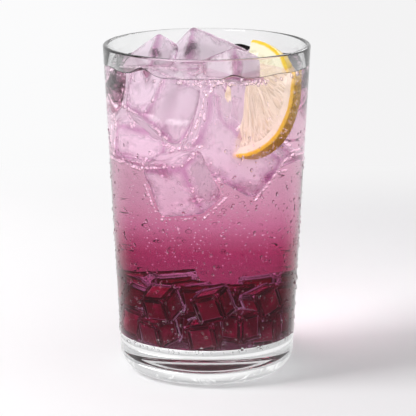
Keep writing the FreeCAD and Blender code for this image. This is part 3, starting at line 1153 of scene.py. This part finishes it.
@dataclass
class JellyHeap:
    """Cubes of jelly, dropped ring by ring onto the floor of the glass.

    They fall as in the part's own drawing, but each ring's most lean is the scene's own.
    """

    glass: Tumbler
    edge: float = 11.0
    bite: float = 1.2
    gap: float = 0.4
    edge_band: float = 1.3
    edge_fade: float = 0.5
    ring_inset: float = 1.3
    # in the order they fall: how many cubes, the ring's radius as a share of the room, and the most
    # that a cube leans, in degrees
    rings: tuple[tuple[int, float, float], ...] = (
        (3, 0.30, 8.0),
        (10, 1.0, 22.0),
        (3, 0.28, 12.0),
        (8, 0.97, 31.0),
    )
    seed: int = 33
    tries: int = 16
    drop_step: float = 0.25
    round: float = 0.8
    finish: Finish = field(default_factory=lambda: WetJelly("wet_jelly"))

    def room(self, height: float) -> float:
        """Inside radius of the glass at a height, its rounded corner included."""
        rise = max(height - self.glass.floor, 0.0)
        wall = self.glass.bore(self.glass.floor + rise)
        corner = self.glass.floor_corner
        if rise >= corner:
            return wall
        return wall - corner + math.sqrt(corner**2 - (corner - rise) ** 2)

    def pull_inside(self, cube: JellyCube) -> None:
        """Moves a cube towards the axis until every corner clears the wall."""
        for corner in cube.corners():
            over = math.hypot(corner.x, corner.y) - (self.room(corner.z) - self.gap)
            if over > 0:
                cube.middle -= Vector((corner.x, corner.y, 0.0)).normalized() * over

    def drop(self, cube: JellyCube, settled: list[JellyCube]) -> None:
        """Lowers a cube until it stands just over the floor or presses onto a settled one."""
        floor = self.glass.floor + self.gap
        while min(corner.z for corner in cube.corners()) > floor:
            cube.middle.z -= self.drop_step
            if any(cube.meets(other, self.bite) for other in settled):
                cube.middle.z += self.drop_step
                break
        cube.middle.z += max(0.0, floor - min(corner.z for corner in cube.corners()))
        self.pull_inside(cube)

    def tumbled(self) -> list[JellyCube]:
        """The cubes of the heap."""
        chance = random.Random(self.seed)
        half = self.edge / 2
        start = self.glass.floor + 4 * self.edge
        room = self.room(self.glass.floor + self.edge) - self.ring_inset * half
        settled: list[JellyCube] = []
        for count, share, most_lean in self.rings:
            for number in range(count):
                tries = []
                for _ in range(self.tries):
                    turn = math.tau * (number + chance.uniform(-0.5, 0.5)) / count
                    lean, tip = (chance.uniform(-most_lean, most_lean) for _ in range(2))
                    middle = around(turn, share * room, start)
                    yaw = turn + math.radians(chance.uniform(-30.0, 30.0))
                    tilt = Euler((math.radians(tip), math.radians(lean), yaw), "XYZ").to_matrix()
                    cube = JellyCube(middle, tilt, half)
                    self.pull_inside(cube)
                    self.drop(cube, settled)
                    tries.append(cube)
                settled.append(min(tries, key=lambda cube: cube.middle.z))
        return settled

    def one_cube(self) -> bpy.types.Object:
        """A cube to copy, its edges rounded and marked by how near they are."""
        clear_selection()
        bpy.ops.mesh.primitive_cube_add(size=self.edge * MM)
        piece = bpy.context.active_object
        bpy.ops.object.mode_set(mode="EDIT")
        bpy.ops.mesh.bevel(offset=self.round * MM, segments=3, affect="EDGES")
        bpy.ops.object.mode_set(mode="OBJECT")
        for face in piece.data.polygons:
            face.select = max(abs(c) for c in face.normal) > 0.999
        bpy.ops.object.mode_set(mode="EDIT")
        bpy.ops.mesh.inset(thickness=self.edge_band * MM, use_individual=True)
        bpy.ops.object.mode_set(mode="OBJECT")
        edge = piece.data.attributes.new("edge", "FLOAT", "POINT")
        face_end = self.edge / 2 - self.round - self.edge_fade
        for vertex in piece.data.vertices:
            second = sorted(abs(c) for c in vertex.co)[1] / MM
            edge.data[vertex.index].value = 0.0 if second < face_end else 1.0
        return piece

    def build(self) -> bpy.types.Object:
        """Models and dresses the heap."""
        places = [Matrix.Translation(cube.middle * MM) @ cube.turn.to_4x4() for cube in self.tumbled()]
        piece = scattered("jelly_cubes", self.one_cube(), places)
        # how much each point faces the wall: where the jelly's painted rim light goes
        outward = piece.data.attributes.new("outward", "FLOAT", "POINT")
        for vertex in piece.data.vertices:
            away = Vector((vertex.co.x, vertex.co.y, 0.0)).normalized()
            outward.data[vertex.index].value = clamped(0.35 + 1.2 * vertex.normal.dot(away))
        dress(piece, self.finish, ("jelly_heap",))
        return piece


# ---------------------------------------------------------------- the lemon


@dataclass
class LemonSlice:
    """Half a wheel of lemon leaning on the wall, partly out of the drink."""

    glass: Tumbler
    level: float
    radius: float = 24.0
    thickness: float = 6.5
    peel_round: float = 1.4
    rind: float = 4.6
    core: float = 2.4
    membrane: float = 0.8
    sink: float = 0.3
    segments: int = 10
    first_membrane: float = -69.0
    clear: float = 1.947
    side: float = 8.378
    drop: float = 13.3
    turn: float = 38.2
    lean: float = 22.2
    cant: float = 2.2
    face_rings: int = 44
    peel_steps: int = 5
    dimple: float = 0.12
    steps: int = 150

    def place(self) -> Matrix:
        """Where the half wheel lies, in metres. Its arc is on its own +X side, its faces look along Z."""
        turns = turned_by(("Z", -self.turn), ("Y", -self.cant), ("X", 90.0 - self.lean))
        height = self.level - self.drop
        out = self.glass.bore(height) - self.clear - self.radius
        middle = Matrix.Rotation(math.radians(-self.turn), 3, "Z") @ Vector((out, self.side, height))
        return Matrix.Translation(middle * MM) @ turns

    def outline(self) -> list[Point]:
        """Half the slab's section: from its middle out along one face, round the peel, and back."""
        half = self.thickness / 2
        flat = self.radius - self.peel_round
        out = [(flat * i / self.face_rings, half) for i in range(self.face_rings)]
        round_over = arc((flat, half - self.peel_round), self.peel_round, 90.0, 0.0, self.peel_steps)
        round_under = arc((flat, self.peel_round - half), self.peel_round, 0.0, -90.0, self.peel_steps)
        back = [(r, -half) for r, _ in reversed(out)]
        return out + round_over + round_under + back

    def relief(self, point: Vector) -> float:
        """How far a point of a cut face is raised, in millimetres."""
        distance = math.hypot(point.x, point.y)
        pitch = 360.0 / self.segments
        turn = (math.degrees(math.atan2(point.y, point.x)) - self.first_membrane) / pitch
        off = abs(turn - round(turn)) * math.radians(pitch) * distance
        pulp_edge = self.radius - self.rind
        inside = clamped((off - 0.3) / 0.5) * clamped((pulp_edge - distance) / 0.6)
        inside *= clamped((distance - self.core) / 0.6)
        along = Vector((distance * 0.25, turn * 6.0, point.z))
        return inside * (-self.sink + 0.28 * noise.noise(along * 1.7)) + 0.05 * noise.noise(point * 0.8)

    def build(self) -> bpy.types.Object:
        """Models and dresses the slice."""
        outline = self.outline()
        clear_selection()
        bpy.ops.mesh.primitive_circle_add(vertices=len(outline))
        piece = named_active("lemon_half_wheel")
        for vertex, (across, height) in zip(piece.data.vertices, outline):
            vertex.co = (0.0, across * MM, height * MM)
        bpy.ops.object.mode_set(mode="EDIT")
        bpy.ops.mesh.select_all(action="SELECT")
        bpy.ops.mesh.edge_face_add()
        bpy.ops.mesh.spin(steps=self.steps, angle=math.pi, center=(0, 0, 0), axis=(0, 0, 1))
        bpy.ops.mesh.select_all(action="SELECT")
        bpy.ops.mesh.remove_doubles(threshold=2e-6)
        bpy.ops.mesh.normals_make_consistent(inside=False)
        bpy.ops.object.mode_set(mode="OBJECT")
        self.cut_relief(piece)
        bpy.ops.object.shade_smooth_by_angle(angle=math.radians(40.0))
        settle(piece, self.place())
        finish = CutLemon(
            "cut_lemon",
            radius=self.radius,
            rind=self.rind,
            core=self.core,
            membrane=self.membrane,
            segments=self.segments,
            first_membrane=self.first_membrane,
        )
        dress(piece, finish, ("lemon_slice",))
        return piece

    def cut_relief(self, piece: bpy.types.Object) -> None:
        """Marks each point with its place in the slice, then shapes the cut faces and the peel."""
        local = piece.data.attributes.new("slice", "FLOAT_VECTOR", "POINT")
        half = self.thickness / 2
        for vertex in piece.data.vertices:
            point = vertex.co / MM
            local.data[vertex.index].vector = point
            if abs(point.z) > half - 1e-3:
                point.z += math.copysign(self.relief(point), point.z)
            elif math.hypot(point.x, point.y) > self.radius - self.peel_round:
                out = Vector((point.x, point.y, 0.0)).normalized()
                point -= out * self.dimple * (0.5 + noise.noise(point * 1.1))
            vertex.co = point * MM


# ---------------------------------------------------------------- bubbles and dew


Bubbles = list[tuple[Vector, float]]


@dataclass
class Fizz:
    """The bubbles: on the ice, on the lemon, along the surface, and rising in strings."""

    glass: Tumbler
    level: float
    blocks: list[IceBlock]
    lemon: LemonSlice
    ice_count: int = 2200
    lemon_count: int = 300
    string_count: int = 18
    rising_count: int = 600
    surface_count: int = 200
    # each kind's least radius, what is added to it at most, and how rare the large ones are
    ice_sizes: Triple = (0.22, 0.60, 2.2)
    lemon_sizes: Triple = (0.14, 0.30, 2.0)
    loose_sizes: Triple = (0.10, 0.35, 3.0)
    surface_sizes: Triple = (0.20, 0.70, 3.0)
    string_sizes: Span = (0.12, 0.32)
    # how far a string is from the axis, where it starts and ends, and how far apart its bubbles are
    string_out: Span = (12.0, 33.0)
    string_start: Span = (44.0, 60.0)
    string_end: Span = (75.0, 110.0)
    string_gap: Span = (1.2, 4.0)
    sway: float = 0.5
    lowest: float = 44.0
    lowest_on_ice: float = 58.0
    below_surface: Span = (0.05, 1.2)
    wall_gap: float = 0.2
    surface_wall_gap: float = 0.15
    # share of the ice's bubbles that lie along an edge, and of the lemon's that lie on its peel
    along_edges: float = 0.7
    on_peel: float = 0.6
    # how far out a bubble sits, as a share of its radius
    off_ice: float = 0.8
    off_lemon: float = 0.7
    edge_melt: float = 0.15
    # strength of the bubbles' painted glow
    glow: float = 0.16
    seed: int = 7

    def fits(self, point: Vector, radius: float, floor: float) -> bool:
        """True if a bubble lies in the drink over a floor, clear of the ice."""
        out = math.hypot(point.x, point.y)
        if not floor < point.z < self.level - radius:
            return False
        if out > self.glass.bore(point.z) - radius - self.wall_gap:
            return False
        return not any(block.holds(point, radius * 0.5) for block in self.blocks)

    def on_ice(self, chance: random.Random) -> Bubbles:
        """Bubbles that cling to the ice, most of them along its edges."""
        found = []
        while len(found) < self.ice_count:
            block = chance.choice(self.blocks)
            size = Vector(block.size) / 2
            point = Vector([chance.uniform(-1, 1) * s for s in size])
            free = chance.sample(range(3), 2 if chance.random() < self.along_edges else 1)
            for axis in free:
                out = size[axis] - self.edge_melt * block.melt * len(free)
                point[axis] = math.copysign(out, point[axis])
            radius = mostly_small(chance, *self.ice_sizes)
            place = block.place() @ (point * MM) / MM
            away = (place - Vector(block.middle)).normalized()
            place += away * radius * self.off_ice
            if self.fits(place, radius, self.lowest_on_ice):
                found.append((place, radius))
        return found

    def on_lemon(self, chance: random.Random) -> Bubbles:
        """Bubbles that cling to the peel and the cut face."""
        found = []
        half = self.lemon.thickness / 2
        while len(found) < self.lemon_count:
            radius = mostly_small(chance, *self.lemon_sizes)
            turn = math.radians(chance.uniform(-90.0, 90.0))
            if chance.random() < self.on_peel:
                out, height = self.lemon.radius + radius * self.off_lemon, chance.uniform(-half, half)
            else:
                out, height = self.lemon.radius * math.sqrt(chance.random()), half + radius * self.off_lemon
            place = self.lemon.place() @ (around(turn, out, height) * MM) / MM
            if self.fits(place, radius, self.lowest):
                found.append((place, radius))
        return found

    def rising(self, chance: random.Random) -> Bubbles:
        """Bubbles on their way up, in strings and one by one."""
        found = []
        for _ in range(self.string_count):
            turn = chance.uniform(0.0, math.tau)
            out = chance.uniform(*self.string_out)
            height = chance.uniform(*self.string_start)
            while height < chance.uniform(*self.string_end):
                sway = Vector((chance.gauss(0, self.sway), chance.gauss(0, self.sway), 0.0))
                point = around(turn, out, height) + sway
                radius = chance.uniform(*self.string_sizes)
                if self.fits(point, radius, self.lowest):
                    found.append((point, radius))
                height += chance.uniform(*self.string_gap)
        while len(found) < self.rising_count:
            height = chance.uniform(self.lowest, self.level - 1.0)
            turn = chance.uniform(0.0, math.tau)
            out = self.glass.bore(height) * math.sqrt(chance.random())
            radius = mostly_small(chance, *self.loose_sizes)
            point = around(turn, out, height)
            if self.fits(point, radius, self.lowest):
                found.append((point, radius))
        return found

    def along_wall(self, chance: random.Random) -> Bubbles:
        """Bubbles held where the drink's surface meets the wall."""
        found = []
        for _ in range(self.surface_count):
            turn = chance.uniform(0.0, math.tau)
            radius = mostly_small(chance, *self.surface_sizes)
            out = self.glass.bore(self.level) - radius - self.surface_wall_gap
            drop = radius + chance.uniform(*self.below_surface)
            found.append((around(turn, out, self.level - drop), radius))
        return found

    def build(self) -> None:
        """Models and dresses every kind of bubble, one piece for each."""
        chance = random.Random(self.seed)
        kinds = {
            "bubbles_on_ice": self.on_ice(chance),
            "bubbles_on_lemon": self.on_lemon(chance),
            "bubbles_rising": self.rising(chance),
            "bubbles_at_surface": self.along_wall(chance),
        }
        finish = ClearBody("bubble", Bending.BUBBLE, glow=self.glow)
        for name, bubbles in kinds.items():
            places = [
                Matrix.Translation(spot * MM) @ Matrix.Scale(radius * MM, 4) for spot, radius in bubbles
            ]
            dress(scattered(name, small_ball(1.0, 2), places), finish)


@dataclass
class Dew:
    """Fine drops of water on the cold outside of the glass."""

    glass: Tumbler
    count: int = 2200
    low: float = 15.0
    high: float = 104.0
    lower_down: float = 1.5
    sizes: Triple = (0.20, 0.55, 3.0)
    flatness: float = 0.55
    droop: Span = (0.9, 1.4)
    seed: int = 21

    def build(self) -> bpy.types.Object:
        """Models and dresses the drops, denser lower down."""
        chance = random.Random(self.seed)
        slope = math.atan(self.glass.outside(1.0) - self.glass.outside(0.0))
        places = []
        for _ in range(self.count):
            height = self.low + (self.high - self.low) * chance.random() ** self.lower_down
            turn = chance.uniform(0.0, math.tau)
            radius = mostly_small(chance, *self.sizes)
            spot = around(turn, self.glass.outside(height), height) * MM
            tilt = Matrix.Rotation(turn, 4, "Z") @ Matrix.Rotation(slope, 4, "Y")
            long = radius * chance.uniform(*self.droop)
            flat = Matrix.Diagonal((radius * self.flatness, radius, long, 1.0))
            places.append(Matrix.Translation(spot) @ tilt @ Matrix.Scale(MM, 4) @ flat)
        piece = scattered("dew", small_ball(1.0, 2), places)
        dress(piece, ClearBody("dew", Bending.DEW))
        return piece


# ---------------------------------------------------------------- the studio


@dataclass(frozen=True)
class Lamp:
    """A soft square lamp: where it hangs and its width in metres, and its power in watts."""

    name: str
    place: Triple
    size: float
    power: float

    def hang(self, aim: Vector) -> bpy.types.Object:
        """Adds the lamp, looking at a point.

        Args:
            aim: the point that it looks at.

        Returns:
            The lamp.
        """
        lamp = bpy.data.lights.new(self.name, "AREA")
        lamp.size = self.size
        lamp.energy = self.power
        hung = bpy.data.objects.new(self.name, lamp)
        hung.location = self.place
        hung.rotation_euler = (aim - Vector(self.place)).to_track_quat("-Z", "Y").to_euler()
        bpy.context.scene.collection.objects.link(hung)
        return hung


@dataclass
class Studio:
    """A pale table, a white surround, soft lamps and the camera."""

    aim: Triple = (0.0005, 0.0, 0.067)
    distance: float = 1.05
    elevation: float = 12.63
    lens: float = 222.4
    surround: Colour = (0.965, 0.96, 0.965)
    ambient: float = 0.66
    dark_front: float = 0.22
    table: Finish = field(default_factory=lambda: PaleTable("pale_table"))
    table_radius: float = 3.0
    table_lamp: Lamp = Lamp("over_table", (-0.75, -0.25, 0.8), 0.45, 6.7)
    piece_lamps: tuple[Lamp, ...] = (
        Lamp("left_front", (-0.6, -0.8, 0.7), 0.5, 8.0),
        Lamp("back_right", (0.5, 0.8, 0.7), 0.6, 4.0),
    )
    # most bounces of light: in all, and of each kind
    bounces: tuple[tuple[str, int], ...] = (
        ("max_bounces", 40),
        ("transmission_bounces", 40),
        ("glossy_bounces", 8),
        ("diffuse_bounces", 4),
        ("transparent_max_bounces", 40),
    )

    def set_camera(self) -> None:
        """Adds the camera, looking along +Y and a little down."""
        turn = math.radians(self.elevation)
        away = Vector((0.0, -math.cos(turn), math.sin(turn)))
        camera = bpy.data.cameras.new("camera")
        camera.lens = self.lens
        stand = bpy.data.objects.new("camera", camera)
        stand.location = Vector(self.aim) + away * self.distance
        stand.rotation_euler = Euler((math.pi / 2 - turn, 0.0, 0.0))
        bpy.context.scene.collection.objects.link(stand)
        bpy.context.scene.camera = stand

    def set_table(self) -> bpy.types.Object:
        """Adds the table, which rests at the foot of the glass."""
        clear_selection()
        bpy.ops.mesh.primitive_circle_add(vertices=96, radius=self.table_radius, fill_type="NGON")
        table = named_active("table")
        table.data.materials.append(self.table.material())
        return table

    def set_world(self) -> None:
        """A white surround, dimmer as a light, whose front is dark in what smooth surfaces throw back."""
        world = bpy.data.worlds.new("surround")
        world.use_nodes = True
        bpy.context.scene.world = world
        graph = Graph(world.node_tree)
        path = graph.add("ShaderNodeLightPath")
        seen = path["Is Camera Ray"].maths("MAXIMUM", path["Is Transmission Ray"])
        straight = seen * (1.0 - self.ambient) + self.ambient
        direction = graph.axis(graph.add("ShaderNodeTexCoord")["Generated"], "Y")
        thrown = direction.step(*BRIGHT_BEHIND) * (1.0 - self.dark_front) + self.dark_front
        reflected = graph.reflected()
        strength = straight * (1.0 - reflected) + thrown * reflected
        sockets = {"Color": (*self.surround, 1.0), "Strength": strength}
        background = graph.add("ShaderNodeBackground", sockets=sockets)
        graph.add("ShaderNodeOutputWorld", sockets={"Surface": background["Background"]})

    @staticmethod
    def group(name: str, members: Iterable[bpy.types.Object]) -> bpy.types.Collection:
        """A collection of objects that a lamp lights, or that cast its shadows."""
        collection = bpy.data.collections.new(name)
        for member in members:
            collection.objects.link(member)
        return collection

    def build(self) -> None:
        """Sets up all but the camera: a lamp for the table, and others for the glass and its contents."""
        table = self.set_table()
        self.set_world()
        pieces = [bpy.data.objects[name] for name in DRESSED]
        solid = [piece for piece in pieces if piece.name.startswith(("jelly", "lemon"))]
        for_pieces = self.group("lit_pieces", pieces)
        shading = self.group("shading_pieces", solid)
        over_table = self.table_lamp.hang(Vector(self.aim))
        over_table.light_linking.receiver_collection = self.group("lit_table", [table])
        for plan in self.piece_lamps:
            lamp = plan.hang(Vector(self.aim))
            lamp.light_linking.receiver_collection = for_pieces
            lamp.light_linking.blocker_collection = shading
        scene = bpy.context.scene
        scene.view_settings.view_transform = "Standard"
        for kind, most in self.bounces:
            setattr(scene.cycles, kind, most)


# ---------------------------------------------------------------- all together


def main() -> None:
    """Builds the studio and every piece, from the glass inwards."""
    logging.basicConfig(level=logging.INFO, format="%(message)s")
    studio = Studio()
    studio.set_camera()
    glass = Tumbler()
    glass.build()
    FloorSheen(glass).build()
    drink_plan = Drink(glass)
    standing = standing_ice(glass, drink_plan.level)
    sunk = sunk_ice()
    for block in standing + sunk:
        block.build()
    drink_plan.build(standing)
    JellyHeap(glass).build()
    lemon = LemonSlice(glass, drink_plan.level)
    lemon.build()
    Fizz(glass, drink_plan.level, standing + sunk, lemon).build()
    Dew(glass).build()
    studio.build()


if __name__ == "__main__":
    main()
